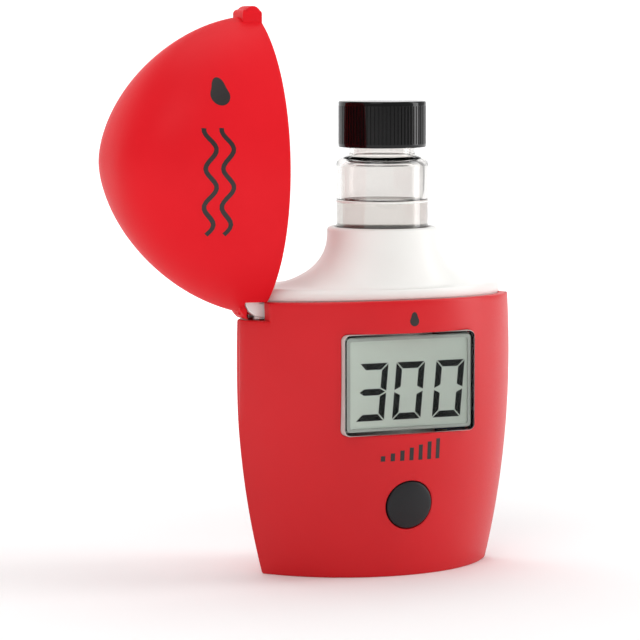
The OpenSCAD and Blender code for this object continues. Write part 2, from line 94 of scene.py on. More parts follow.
def skin(name, across, up, place, closed=True, caps=True):
    """A grid whose points are placed one by one, then welded where it meets itself and capped."""
    take_up(None)
    bpy.ops.mesh.primitive_grid_add(x_subdivisions=across, y_subdivisions=up, size=1)
    piece = bpy.context.object
    piece.name = name
    for v in piece.data.vertices:
        i, j = round((v.co.x + 0.5) * across), round((v.co.y + 0.5) * up)
        v.co = Vector(place(i % across if closed else i, j)) * mm
    bpy.ops.object.mode_set(mode="EDIT")
    bpy.ops.mesh.select_all(action="SELECT")
    bpy.ops.mesh.remove_doubles(threshold=1e-6)
    bpy.ops.mesh.dissolve_degenerate(threshold=1e-7)
    if caps:
        bpy.ops.mesh.select_all(action="SELECT")
        bpy.ops.mesh.fill_holes(sides=0)
    bpy.ops.mesh.select_all(action="SELECT")
    bpy.ops.mesh.normals_make_consistent(inside=False)
    bpy.ops.object.mode_set(mode="OBJECT")
    return piece


def block(low, high):
    """A box between two corners, in mm."""
    take_up(None)
    bpy.ops.mesh.primitive_cube_add(
        size=1,
        location=[(a + b) / 2 * mm for a, b in zip(low, high)],
        scale=[(b - a) * mm for a, b in zip(low, high)],
    )
    bpy.ops.object.transform_apply(location=True, rotation=True, scale=True)
    return bpy.context.object


def rod(centre, axis, radius, length, sides=96):
    """A round bar on a centre and an axis, in mm."""
    take_up(None)
    bpy.ops.mesh.primitive_cylinder_add(
        vertices=sides,
        radius=radius * mm,
        depth=length * mm,
        location=Vector(centre) * mm,
        rotation=Vector(axis).to_track_quat("Z", "Y").to_euler(),
    )
    bpy.ops.object.transform_apply(location=True, rotation=True, scale=True)
    return bpy.context.object


def join(piece, *parts):
    """Makes loose parts one object with a piece."""
    take_up(piece)
    for part in parts:
        part.select_set(True)
    bpy.ops.object.join()
    return piece


def thicken(piece, offset):
    """Extrudes a whole sheet along an offset in mm, and turns its faces outward."""
    take_up(piece)
    bpy.ops.object.mode_set(mode="EDIT")
    bpy.ops.mesh.select_all(action="SELECT")
    bpy.ops.mesh.extrude_region_move(TRANSFORM_OT_translate={"value": Vector(offset) * mm})
    bpy.ops.mesh.select_all(action="SELECT")
    bpy.ops.mesh.normals_make_consistent(inside=False)
    bpy.ops.object.mode_set(mode="OBJECT")
    return piece


def arched_block(first_x, cells, gap, height):
    """A block with one face along the case's arched top edge, at a gap over it."""
    sheet = skin(
        "arch", cells, 1,
        lambda i, j: (first_x + 3 * i, -26 + 52 * j, top_edge(first_x + 3 * i) + gap), False, False)
    return thicken(sheet, (0, 0, height))


def combine(piece, tool, how="DIFFERENCE"):
    """Cuts, joins or trims a piece with a tool shape that is then thrown away."""
    take_up(piece)
    step = piece.modifiers.new("combine", "BOOLEAN")
    step.operation, step.object, step.solver = how, tool, "EXACT"
    bpy.ops.object.modifier_apply(modifier="combine")
    bpy.data.objects.remove(tool)
    return piece


def round_edges(piece, width, steps, chosen, least=40):
    """Rounds the piece's sharp edges that chosen(middle in mm) picks."""
    take_up(piece)
    bpy.ops.object.mode_set(mode="EDIT")
    bpy.ops.mesh.select_mode(type="EDGE")
    bpy.ops.mesh.select_all(action="DESELECT")
    mesh = bmesh.from_edit_mesh(piece.data)
    for edge in mesh.edges:
        if len(edge.link_faces) == 2 and edge.calc_face_angle(0) > math.radians(least):
            if chosen((edge.verts[0].co + edge.verts[1].co) / 2 / mm):
                edge.select_set(True)
    bmesh.update_edit_mesh(piece.data)
    bpy.ops.mesh.bevel(
        offset=width * mm, segments=steps, affect="EDGES", clamp_overlap=False
    )
    bpy.ops.mesh.select_mode(type="VERT")
    bpy.ops.object.mode_set(mode="OBJECT")
    return piece


def done(piece, name, body, finish, slot, *nodes, smooth=35):
    """Shades a finished piece, gives it its material, and puts it on its CAD body."""
    take_up(piece)
    piece.name = name
    bpy.ops.object.shade_smooth_by_angle(angle=math.radians(smooth))
    piece.data.materials.clear()
    piece.data.materials.append(finish)
    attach(piece, body)
    if nodes:
        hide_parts(*nodes)
    return piece


def linear(code):
    """An sRGB hex colour as linear red, green, blue and alpha."""
    parts = [int(code[i : i + 2], 16) / 255 for i in (1, 3, 5)]
    return [c / 12.92 if c <= 0.04045 else ((c + 0.055) / 1.055) ** 2.4 for c in parts] + [1]


def add(finish, kind, settings=(), links=()):
    """Adds a node to a material, sets its values and links other nodes' outputs to its inputs."""
    node = finish.node_tree.nodes.new(kind)
    for key, value in dict(settings).items():
        if isinstance(key, str) and hasattr(node, key):
            setattr(node, key, value)
        else:
            node.inputs[key].default_value = value
    for key, source in dict(links).items():
        finish.node_tree.links.new(source, node.inputs[key])
    return node


def fresh(name):
    """A new material and its shader."""
    finish = bpy.data.materials.new(name)
    finish.use_nodes = True
    return finish, finish.node_tree.nodes["Principled BSDF"]


# Red ABS, injection moulded in a spark-eroded mould: a satin skin with a soft broad highlight.
# The grain is 0.2 mm in the mould and is drawn at 0.35 mm, so that it shows.
def grained_abs(name, deep, pale, roughness, grain=0.35, depth=0.006, level=0.3):
    finish, shader = fresh(name)
    place = add(finish, "ShaderNodeTexCoord").outputs["Object"]
    cloud = add(finish, "ShaderNodeTexNoise", {"Scale": 1 / 0.025, "Detail": 3.0}, {"Vector": place})
    grit = add(
        finish, "ShaderNodeTexNoise", {"Scale": 1 / (grain * mm), "Detail": 2.0}, {"Vector": place}
    )
    tint = add(finish, "ShaderNodeValToRGB", {}, {0: cloud.outputs[0]})
    tint.color_ramp.elements[0].position, tint.color_ramp.elements[1].position = 0.3, 0.7
    for stop, code in zip(tint.color_ramp.elements, (deep, pale)):
        stop.color = linear(code)
    gloss = add(
        finish,
        "ShaderNodeMapRange",
        {"From Min": 0.3, "From Max": 0.7, "To Min": roughness - 0.03, "To Max": roughness + 0.04},
        {0: grit.outputs[0]},
    )
    relief = add(
        finish, "ShaderNodeBump", {"Strength": 0.5, "Distance": depth * mm}, {"Height": grit.outputs[0]}
    )
    links = finish.node_tree.links
    links.new(tint.outputs[0], shader.inputs["Base Color"])
    links.new(gloss.outputs[0], shader.inputs["Roughness"])
    links.new(relief.outputs[0], shader.inputs["Normal"])
    shader.inputs["IOR"].default_value = 1.53
    shader.inputs["Specular IOR Level"].default_value = level
    return finish


case_abs = grained_abs("moulded_abs_red", "#cd0e18", "#d4131d", 0.4)


def half_shell(side):
    """One half of the case. Side is -1 for the front and 1 for the rear."""
    heights = [28.4 * i / 16 for i in range(16)]
    heights += [28.4, 30.0] + [30 + 1.7 * i for i in range(1, 12)] + [50.3, 53.0, 54.6, 57.4]
    last = 2 * face_cells + 4

    def place(i, j):
        z = heights[j]
        if i <= face_cells + 2:
            x, y = face_point(z, 0, min(max(i - 1, 0), face_cells))
            y = 0 if i in (0, face_cells + 2) else y
        else:
            x, y = face_point(z, shell_wall, min(max(last - 1 - i, 0), face_cells))
            y = 0 if i in (face_cells + 3, last) else y
        return x, side * y, z

    shell = skin("shell", last + 1, len(heights) - 1, place)
    combine(shell, arched_block(-36, 24, 0, 12))
    return combine(shell, block((-36, -20, notch_floor), (notch_x, 20, 70)))


def on_outside(p):
    """Whether a point is on the case's outer skin or on its two tips."""
    r = face_radius(p.z)
    skin_gap = abs(math.hypot(p.x, abs(p.y) + face_axis) - r)
    return skin_gap < 0.06 or (abs(p.y) < 0.02 and abs(p.x) > 20) or abs(p.x) > tip_x - 0.05


display_low, display_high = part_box("display_window")
display_middle = (display_low + display_high) / 2 / mm
window_half_width, window_half_height, window_gap = 14.2, 10.0, 0.15
button_z, button_hole_radius = 14.75, 5.05
button_tilt = math.asin((widest_z - button_z) / side_radius)
button_middle = Vector((0, -(face_radius(button_z) - face_axis), button_z))
button_out = Vector((0, -math.cos(button_tilt), -math.sin(button_tilt)))


def display_block(margin, front_y, back_y, corner, steps=6):
    """A block a margin larger than the window, with four rounded corners, between two depths in mm."""
    half_width, half_height = window_half_width + margin, window_half_height + margin
    piece = block(
        (-half_width, front_y, display_middle.z - half_height),
        (half_width, back_y, display_middle.z + half_height),
    )
    return round_edges(
        piece, corner, steps,
        lambda p: abs(p.x) > half_width - 0.01 and abs(abs(p.z - display_middle.z) - half_height) < 0.01)


front = half_shell(-1)
combine(front, display_block(window_gap, -26, -9, 1.25))
combine(front, rod(button_middle, button_out, button_hole_radius, 14))
round_edges(
    front, 0.25, 3,
    lambda p: on_outside(p) and (p - button_middle).length > 5.9 and p.z < 54.6,
)
round_edges(front, 0.3, 3, lambda p: p.z > 54.7 and abs(p.z - top_edge(p.x)) < 0.1)
round_edges(front, 0.18, 2, lambda p: p.y < -15.4 and abs(
    (p - button_middle).cross(button_out).length - button_hole_radius) < 0.05)
done(front, "case_front", "case", case_abs, "shell_red", "front_shell")

rear = half_shell(1)
screw_places = [(x, z) for x in (-23.2, 23.2) for z in (20.5, 45.0)]
for x, z in screw_places:
    combine(rear, rod((x, 16, z), (0, 1, 0), 2.1, 22, 48))
round_edges(rear, 0.25, 3, lambda p: on_outside(p) and p.z < 54.6 and all(
    math.hypot(p.x - x, p.z - z) > 3 for x, z in screw_places))
round_edges(rear, 0.3, 3, lambda p: p.z > 54.7 and abs(p.z - top_edge(p.x)) < 0.1)
cell_low, cell_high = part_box("battery")
cell_x, cell_y = (cell_low.x + cell_high.x) / 2 / mm, (cell_low.y + cell_high.y) / 2 / mm


def floor_place(i, j):
    """A lens-shaped plate just inside the case's wall."""
    z = (0.0, 3.2)[j]
    k = i if i <= face_cells else 2 * face_cells - i
    x, y = face_point(z, shell_wall + 0.08, k)
    return x, (y if i <= face_cells else -y), z


floor_plate = skin("floor", 2 * face_cells, 1, floor_place)
combine(floor_plate, rod((cell_x, cell_y, 0), (0, 0, 1), 6.1, 4.4))
combine(floor_plate, rod((cell_x, cell_y, 0), (0, 0, 1), 5.5, 20))
join(rear, floor_plate)
done(rear, "case_rear", "case", case_abs, "shell_red", "rear_shell")

# Housing: the white ABS moulding in the case's top. It is one part with the deck, the flared neck, the
# collar and the well that the vial stands in, and its two bosses carry the lid's hinge pin.
# The flare is placed ring by ring, because it goes from a lens-shaped foot to a round collar.
deck_z, deck_inset, skirt_inset, neck_top = 58.2, 1.65, 1.95, 70.0
vial_middle_y = (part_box("vial")[0].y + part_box("vial")[1].y) / 2 / mm
collar_radius, well_radius, rim_radius = 11.2, 9.6, 0.75
flare_foot_a = math.sqrt((face_radius(deck_z) - deck_inset) ** 2 - face_axis**2) - 0.7
flare_foot_b = face_radius(deck_z) - deck_inset - face_axis - 0.3
ring_cells, flare_power = 120, 2.4


def lens_ring(q, a, b):
    """A point of a lens outline with half-width a and half-depth b."""
    c = (a * a - b * b) / (2 * b)
    u = math.cos(q) * a
    y = math.sqrt(max(0, (b + c) ** 2 - u * u)) - c
    return u, y if math.sin(q) >= 0 else -y


def deck_row(z, inset):
    """A row that follows the case's own outline, inset."""
    r = face_radius(z) - inset
    a, b = math.sqrt(r * r - face_axis**2), r - face_axis
    return lambda q: (*lens_ring(q, a, b), z)


def ledge_row(up, inset):
    """A row under the ledge, which follows the arch of the case's top edge at a small gap."""

    def row(q):
        x, y, _ = deck_row(56.0, inset)(q)
        return x, y, top_edge(x) + up

    return row


def round_row(radius, z):
    """A row round the vial."""
    return lambda q: (radius * math.cos(q), vial_middle_y + radius * math.sin(q), z)


def flare_row(t):
    """A row of the flare: at 0 the collar's circle, and at 1 the deck's lens."""
    g = 1 - math.sqrt(max(0, 1 - t**flare_power))
    z = neck_top - 1 - (neck_top - 1 - deck_z) * t

    def row(q):
        x, y = lens_ring(q, flare_foot_a, flare_foot_b)
        return (
            (1 - g) * collar_radius * math.cos(q) + g * x,
            (1 - g) * (vial_middle_y + collar_radius * math.sin(q)) + g * y,
            z,
        )

    return row


# From the middle of the well's underside: its outside, the deck's underside, the skirt and the ledge
tube_radius, tube_foot, deck_under, skirt_foot = 10.4, 21.8, 56.2, 51.2
rows = [round_row(r, z) for r, z in (
    (0, tube_foot), (tube_radius, tube_foot), (tube_radius, 40), (tube_radius, deck_under))]
rows += [deck_row(z, skirt_inset + more) for z, more in (
    (deck_under, 1.6), (skirt_foot + 0.2, 1.6), (skirt_foot, 1.5), (skirt_foot, 0.2), (skirt_foot + 0.2, 0),
    (52.8, 0), (54.2, 0), (55.4, 0))]
rows += [ledge_row(up, inset) for up, inset in (
    (0.2, skirt_inset), (0.2, deck_inset + 0.05), (0.35, deck_inset))]
rows.append(deck_row(57.2, deck_inset))
# Then the deck's rounded edge, the flare, the collar's rounded rim, and the well down to its floor
rows += [
    deck_row(deck_z - 0.5 + 0.5 * math.sin(a), deck_inset + 0.5 - 0.5 * math.cos(a))
    for a in [math.pi / 8 * i for i in range(1, 5)]
]
rows += [flare_row(math.sin(math.pi / 2 * i / 30) * 0.999) for i in range(30, -1, -1)]
rows += [
    round_row(
        collar_radius - rim_radius + rim_radius * math.cos(a),
        neck_top - rim_radius + rim_radius * math.sin(a),
    )
    for a in [math.pi / 12 * i for i in range(0, 7)]
]
rows += [
    round_row(well_radius + 0.4 - 0.4 * math.sin(a), neck_top - 0.4 + 0.4 * math.cos(a))
    for a in [math.pi / 8 * i for i in range(0, 5)]
]
rows += [round_row(well_radius, z) for z in (60, 50, 40, 30, 23.4)] + [round_row(9.2, 23), round_row(0, 23)]
housing = skin(
    "housing", ring_cells, len(rows) - 1, lambda i, j: rows[j](2 * math.pi * i / ring_cells), caps=False
)
hinge = Vector((-26.1, 0, 56.1))
boss_radius, boss_width, boss_y, pin_radius = 3.7, 1.65, 2.175, 1.0
combine(housing, block((-40, -20, 40), (hinge.x + 0.9, 20, 62)))
for side in (-1, 1):
    boss = rod((hinge.x, side * boss_y, hinge.z), (0, 1, 0), boss_radius, boss_width)
    web = block(
        (hinge.x - 1.2, side * boss_y - boss_width / 2, notch_floor + 0.2),
        (hinge.x + 6, side * boss_y + boss_width / 2, deck_z - 0.3),
    )
    combine(boss, web, "UNION")
    combine(boss, rod(hinge, (0, 1, 0), pin_radius, 30, 48))
    round_edges(boss, 0.22, 3, lambda p: abs(p.y) > 2.9 and (p - hinge).length > 2)
    join(housing, boss)
housing_abs = grained_abs("moulded_abs_white", "#efeeea", "#f4f3f0", 0.36, 0.35, 0.004)
done(housing, "neck_housing", "case", housing_abs, "housing_white", "housing", smooth=30)

# Hinge pin: a drawn steel pin with chamfered ends, pressed into the bosses.
# Drawing leaves fine lines along it.
pin = rod(hinge, (0, 1, 0), pin_radius - 0.01, 5.9, 48)
round_edges(pin, 0.2, 3, lambda p: abs(p.y) > 2.9)
drawn_steel, shader = fresh("drawn_steel")
place = add(drawn_steel, "ShaderNodeTexCoord").outputs["Object"]
along = add(drawn_steel, "ShaderNodeMapping", {"Scale": (1, 0.05, 1)}, {"Vector": place})
lines = add(drawn_steel, "ShaderNodeTexNoise", {"Scale": 1 / (0.12 * mm)}, {"Vector": along.outputs[0]})
gloss = add(drawn_steel, "ShaderNodeMapRange", {"To Min": 0.2, "To Max": 0.42}, {0: lines.outputs[0]})
drawn_steel.node_tree.links.new(gloss.outputs[0], shader.inputs["Roughness"])
shader.inputs["Base Color"].default_value = linear("#c5c8cc")
shader.inputs["Metallic"].default_value = 1
done(pin, "hinge_pin_drawn", "case", drawn_steel, "pin_steel", "hinge_pin")

# Lid: a thin dome of the same red ABS, with a knuckle on the pin, a strap that covers the bosses, and a
# small lip for the thumb at the far end. Its rim follows the case's top edge when it is shut.
# It is shaped shut and then turned to where it stands open.
lid_wall, lid_height, rim_gap = 1.3, 32.4, 0.2
side_power, face_power, round_power, crown_lean = 1.85, 2.8, 0.8, 1.4
rim_half_width = math.sqrt(face_radius(case_top) ** 2 - face_axis**2)
rim_half_depth = face_radius(case_top) - face_axis
lid_cells, lid_rows = 144, 44


def dome_point(q, h, inset):
    """A point of the dome at a height over the rim, in mm."""
    top = lid_height - inset
    share = min(h / top, 1)
    a = (rim_half_width - 0.3 - inset) * max(0, 1 - share**side_power) ** (1 / side_power)
    b = (rim_half_depth - inset) * max(0, 1 - share**face_power) ** (1 / face_power)
    w = share**round_power
    x, y = (0.0, 0.0)
    if a > 1e-6:
        x, lens = lens_ring(q, 1, min(b / a, 0.999))
        y = (1 - w) * lens * a + w * b * math.sin(q)
    return crown_lean * math.sqrt(share) + a * math.cos(q), y, case_top + h


def dome(inset, name):
    """The dome's outer or inner skin, from under the rim to the crown."""
    top = lid_height - inset
    first = math.asin(1.7 / top)
    heights = [0] + [
        top * math.sin(first + (math.pi / 2 - first) * j / lid_rows) for j in range(lid_rows + 1)]

    def place(i, j):
        x, y, z = dome_point(2 * math.pi * i / lid_cells, heights[j], inset)
        return x, y, z if j else z - 3

    return skin(name, lid_cells, lid_rows + 1, place, caps=True)


lid = dome(0, "lid")
combine(lid, dome(lid_wall, "inside"))
combine(lid, arched_block(-42, 28, rim_gap, -12))
combine(lid, block((-40, -20, 40), (hinge.x - 0.5, 20, hinge.z + 4.2)))
clear_radius, strap_radius, knuckle_half_width = 3.9, 5.1, 1.2
combine(lid, rod(hinge, (0, 1, 0), clear_radius, 6.5))
round_edges(lid, 0.35, 3, lambda p: abs(p.z - top_edge(p.x) - rim_gap) < 0.1)
strap = rod(hinge, (0, 1, 0), strap_radius, 5.6)
combine(strap, rod(hinge, (0, 1, 0), clear_radius, 12))
combine(strap, block((-40, -10, 40), (0, 10, hinge.z + 3.1)))
combine(strap, block((hinge.x + 1.2, -10, 40), (0, 10, 70)))
round_edges(strap, 0.2, 2, lambda p: (p - hinge).length > strap_radius - 0.2)
knuckle = rod(hinge, (0, 1, 0), boss_radius - 0.02, 2 * knuckle_half_width)
neck_of_knuckle = block(
    (hinge.x - 3.2, -knuckle_half_width, hinge.z + 1.5), (hinge.x, knuckle_half_width, hinge.z + 4.4))
combine(knuckle, neck_of_knuckle, "UNION")
combine(knuckle, rod(hinge, (0, 1, 0), pin_radius + 0.06, 12, 48))
lip_x = rim_half_width
lip = block((lip_x - 1.4, -2.6, case_top + 0.5), (lip_x + 1.3, 2.6, case_top + 4.6))
round_edges(lip, 0.9, 5, lambda p: p.x > lip_x + 1.2)
nose = rod((lip_x + 0.2, 0, case_top + 2.3), (0, 1, 0), 1.75, 5.1, 64)
round_edges(nose, 0.4, 4, lambda p: abs(p.y) > 2.5)
for part in (strap, knuckle, lip, nose):
    join(lid, part)
open_turn = (
    Matrix.Translation(hinge * mm)
    @ Matrix.Rotation(-math.pi / 2, 4, "Y")
    @ Matrix.Translation(-hinge * mm)
)
lid.data.transform(open_turn)
# Painted light: the lid is the case's red ABS drawn a shade lighter, for the light that falls on it from
# above.
lid_abs = grained_abs("moulded_abs_red_painted_light", "#dc1822", "#e21d27", 0.42, level=0.07)
done(lid, "lid_dome", "lid", lid_abs, "lid_red", "lid", smooth=30)

# Window: one piece of clear polished acrylic, glued in its opening. Its flat face stands a little proud of
# the curved case at both sides and has a narrow chamfer all round, and the back is hollowed for the LCD.
window_front, window_back = display_low.y / mm, -14.25
window = display_block(0, window_front, window_back, 1.2)
round_edges(window, 0.42, 1, lambda p: p.y < window_front + 0.01)
combine(window, display_block(-0.6, window_front + 1.2, -5, 0.8, 4))
acrylic, shader = fresh("polished_acrylic")
place = add(acrylic, "ShaderNodeTexCoord").outputs["Object"]
wave = add(acrylic, "ShaderNodeTexNoise", {"Scale": 1 / 0.012, "Detail": 1.0}, {"Vector": place})
haze = add(acrylic, "ShaderNodeMapRange", {"To Min": 0.0, "To Max": 0.03}, {0: wave.outputs[0]})
acrylic.node_tree.links.new(haze.outputs[0], shader.inputs["Roughness"])
shader.inputs["Base Color"].default_value = linear("#fbfdfc")
shader.inputs["IOR"].default_value = 1.16
shader.inputs["Transmission Weight"].default_value = 1
done(window, "window_acrylic", "case", acrylic, "window_clear", "display_window", smooth=20)

# Adhesive: the bead of pale silicone that holds the window, squeezed into the gap all round it.
# Its pale colour is partly a painted highlight: the thin light line it makes at the window's edge stands for
# light caught by that edge.
bead = display_block(window_gap - 0.02, window_front + 0.75, window_back - 0.05, 1.23)
combine(bead, display_block(0.01, -25, -10, 1.21))
silicone, shader = fresh("pale_adhesive_painted_highlight")
place = add(silicone, "ShaderNodeTexCoord").outputs["Object"]
lump = add(silicone, "ShaderNodeTexNoise", {"Scale": 1 / (1.5 * mm)}, {"Vector": place})
tint = add(silicone, "ShaderNodeValToRGB", {}, {0: lump.outputs[0]})
for stop, code in zip(tint.color_ramp.elements, ("#c2bab6", "#d3ccc8")):
    stop.color = linear(code)
silicone.node_tree.links.new(tint.outputs[0], shader.inputs["Base Color"])
shader.inputs["Roughness"].default_value = 0.5
done(bead, "window_adhesive_painted_highlight", "case", silicone, "shell_red")

# Display: a matt grey frame and the LCD's glass sandwich with its grey-green reflector, both as in the CAD
# model. The dark bars of the number are flat shapes with mitred ends on the glass's front.
lcd_sheet, shader = fresh("reflective_lcd_glass")
place = add(lcd_sheet, "ShaderNodeTexCoord").outputs["Object"]
sheet_width, sheet_height = 0.04, 0.05
centred = add(lcd_sheet, "ShaderNodeMapping", {
    "Location": (0.5, 0, -display_middle.z * mm / sheet_height + 0.5),
    "Scale": (1 / sheet_width, 1, 1 / sheet_height)}, {"Vector": place})
# Painted shade: a gradient makes the reflector lighter at its left and darker towards its right.
painted_shade_fall = add(lcd_sheet, "ShaderNodeTexGradient", {}, {"Vector": centred.outputs[0]})
brushed = add(lcd_sheet, "ShaderNodeTexNoise", {"Scale": 1 / (0.25 * mm)}, {"Vector": place})
mixed = add(
    lcd_sheet, "ShaderNodeMath", {"operation": "MULTIPLY_ADD", 1: 0.12},
    {0: brushed.outputs[0], 2: painted_shade_fall.outputs[1]})
tint = add(lcd_sheet, "ShaderNodeValToRGB", {}, {0: mixed.outputs[0]})
for stop, code in zip(tint.color_ramp.elements, ("#d6ded3", "#bbc4ba")):
    stop.color = linear(code)
lcd_sheet.node_tree.links.new(tint.outputs[0], shader.inputs["Base Color"])
shader.inputs["Roughness"].default_value = 0.3
shader.inputs["IOR"].default_value = 1.52
lcd_ink, shader = fresh("liquid_crystal_segments")
place = add(lcd_ink, "ShaderNodeTexCoord").outputs["Object"]
grit = add(lcd_ink, "ShaderNodeTexNoise", {"Scale": 1 / (0.3 * mm)}, {"Vector": place})
tint = add(lcd_ink, "ShaderNodeValToRGB", {}, {0: grit.outputs[0]})
for stop, code in zip(tint.color_ramp.elements, ("#050807", "#0a0e0c")):
    stop.color = linear(code)
lcd_ink.node_tree.links.new(tint.outputs[0], shader.inputs["Base Color"])
shader.inputs["Roughness"].default_value = 0.5
shader.inputs["Specular IOR Level"].default_value = 0.05
sheet_low, sheet_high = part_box("lcd_segments")
digit_width, digit_height, bar_width, bar_gap, slant = 6.5, 11.75, 1.55, 0.24, 0.09
digit_z = display_middle.z - 1.5


def segment(points):
    """One bar of a digit: a flat many-sided face from its corners (x, z)."""
    take_up(None)
    bpy.ops.mesh.primitive_circle_add(vertices=len(points), fill_type="NGON")
    bar = bpy.context.object
    for v, (x, z) in zip(bar.data.vertices, points):
        v.co = Vector((x + slant * (z - digit_z), sheet_high.y / mm - 0.01, z)) * mm
    return bar


bars = []
for middle_x, lit in ((-8.1, "abcdg"), (-0.05, "abcdef"), (8.75, "abcdef")):
    left, right = middle_x - digit_width / 2, middle_x + digit_width / 2
    for key in lit:
        up = 1 if key in "abf" else -1
        edge, inner = (right, right - bar_width) if key in "bc" else (left, left + bar_width)
        end = digit_z + up * digit_height / 2
        if key in "ad":
            bars.append(segment([
                (left, end), (right, end), (right - bar_width, end - up * bar_width),
                (left + bar_width, end - up * bar_width)]))
        elif key == "g":
            half = bar_width / 2
            bars.append(segment([
                (left + 0.3, digit_z), (left + bar_width, digit_z + half),
                (right - bar_width, digit_z + half), (right - 0.1, digit_z),
                (right - bar_width, digit_z - half), (left + bar_width, digit_z - half)]))
        else:
            bars.append(segment([
                (edge, end), (edge, digit_z),
                (inner, digit_z + up * bar_width / 2), (inner, end - up * bar_width)]))
digits = join(*bars)
bpy.ops.object.mode_set(mode="EDIT")
bpy.ops.mesh.select_mode(type="FACE")
bpy.ops.mesh.select_all(action="SELECT")
bpy.ops.mesh.inset(thickness=bar_gap / 2 * mm, use_individual=True)
bpy.ops.mesh.select_all(action="INVERT")
bpy.ops.mesh.delete(type="FACE")
bpy.ops.mesh.select_mode(type="VERT")
bpy.ops.object.mode_set(mode="OBJECT")
thicken(digits, (0, (sheet_low.y - sheet_high.y) / mm + 0.02, 0))
done(digits, "lcd_digits", "case", lcd_ink, "lcd_ink", "lcd_segments")
frame_grey = grained_abs("matt_printed_frame", "#a9aea8", "#b3b8b1", 0.6, 0.3, 0.002)
for node, finish in (("lcd_glass", lcd_sheet), ("display_bezel", frame_grey)):
    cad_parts[node].data.materials.clear()
    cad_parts[node].data.materials.append(finish)


# Vial: blown borosilicate glass with a thick foot, a straight wall, a rounded shoulder and a narrow neck.
# It stands on the seat in the well and comes straight up out of the collar.
def bend(r, z, radius, start, end, steps):
    """Points along an arc of a profile, in mm, with its angles in degrees."""
    turns = [math.radians(start + (end - start) * i / steps) for i in range(steps + 1)]
    return [(r + radius * math.cos(a), z + radius * math.sin(a)) for a in turns]


def turned(name, profile, steps=144, middle=(0, vial_middle_y)):
    """A profile of (radius, height) points, in mm, spun about an upright line."""
    take_up(None)
    start = Vector((middle[0] + profile[0][0], middle[1], profile[0][1])) * mm
    bpy.ops.mesh.primitive_plane_add(size=mm, location=start)
    bpy.ops.object.transform_apply(location=True)
    bpy.ops.object.mode_set(mode="EDIT")
    bpy.ops.mesh.select_all(action="SELECT")
    bpy.ops.mesh.merge(type="CENTER")
    for (r0, z0), (r1, z1) in zip(profile, profile[1:]):
        bpy.ops.mesh.extrude_region_move(
            TRANSFORM_OT_translate={"value": ((r1 - r0) * mm, 0, (z1 - z0) * mm)}
        )
    bpy.ops.mesh.select_all(action="SELECT")
    bpy.ops.mesh.spin(
        steps=steps, angle=2 * math.pi, center=(middle[0] * mm, middle[1] * mm, 0), axis=(0, 0, 1)
    )
    bpy.ops.mesh.select_all(action="SELECT")
    bpy.ops.mesh.remove_doubles(threshold=1e-6)
    bpy.ops.mesh.select_all(action="SELECT")
    bpy.ops.mesh.normals_make_consistent(inside=False)
    bpy.ops.object.mode_set(mode="OBJECT")
    piece = bpy.context.object
    piece.name = name
    return piece


vial_low, vial_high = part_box("vial")
foot, mouth = vial_low.z / mm, vial_high.z / mm
shoulder, vial_radius, bore_radius, vial_floor = mouth - 9.0, 9.3, 8.3, foot + 1.5
vial_profile = [(0, foot + 0.4), (6.6, foot + 0.3), (7.5, foot + 0.03)]
vial_profile += bend(8.3, foot + 1, 1, -90, 0, 8) + [(vial_radius, foot + 20)]
vial_profile += bend(vial_radius - 1.8, shoulder - 1.8, 1.8, 0, 76, 10)
vial_profile += bend(7.35, shoulder + 0.65, 0.65, -110, -180, 6)
vial_profile += bend(6.35, mouth - 0.35, 0.35, 0, 90, 5) + bend(6.05, mouth - 0.35, 0.35, 90, 180, 5)
vial_profile += bend(7.0, shoulder + 0.35, 1.3, 180, 262, 7)
vial_profile += bend(bore_radius - 1.1, shoulder - 2.1, 1.1, 78, 0, 7) + [(bore_radius, foot + 20)]
vial_profile += bend(bore_radius - 1, vial_floor + 1, 1, 0, -90, 6) + [(0, vial_floor)]
vial = turned("vial", vial_profile)
glass, shader = fresh("borosilicate_glass")
place = add(glass, "ShaderNodeTexCoord").outputs["Object"]
drawn = add(glass, "ShaderNodeMapping", {"Scale": (1, 1, 0.3)}, {"Vector": place})
wave = add(glass, "ShaderNodeTexNoise", {"Scale": 1 / 0.008, "Detail": 1.0}, {"Vector": drawn.outputs[0]})
ripple = add(glass, "ShaderNodeBump", {"Strength": 0.2, "Distance": 0.02 * mm}, {"Height": wave.outputs[0]})
glass.node_tree.links.new(ripple.outputs[0], shader.inputs["Normal"])
shader.inputs["Base Color"].default_value = linear("#e9e7e5")
shader.inputs["Roughness"].default_value = 0
shader.inputs["IOR"].default_value = 1.47
shader.inputs["Transmission Weight"].default_value = 1
done(vial, "vial_glass_body", "vial", glass, "vial_glass", "vial", smooth=50)

# Fill line: a thin ring of white enamel, fired on the glass.
# It says how far to fill the vial.
line_z, line_half = 75.1, 0.13
ring = turned("fill_ring", [
    (vial_radius + out, line_z + up * line_half)
    for out, up in ((0.01, -1), (0.04, -1), (0.04, 1), (0.01, 1), (0.01, -1))])
fired_enamel, shader = fresh("fired_white_enamel")
place = add(fired_enamel, "ShaderNodeTexCoord").outputs["Object"]
speck = add(fired_enamel, "ShaderNodeTexNoise", {"Scale": 1 / (0.2 * mm)}, {"Vector": place})
tint = add(fired_enamel, "ShaderNodeValToRGB", {}, {0: speck.outputs[0]})
for stop, code in zip(tint.color_ramp.elements, ("#e9e9e6", "#f6f6f4")):
    stop.color = linear(code)
fired_enamel.node_tree.links.new(tint.outputs[0], shader.inputs["Base Color"])
shader.inputs["Roughness"].default_value = 0.3
done(ring, "fill_line", "vial", fired_enamel, "vial_glass")

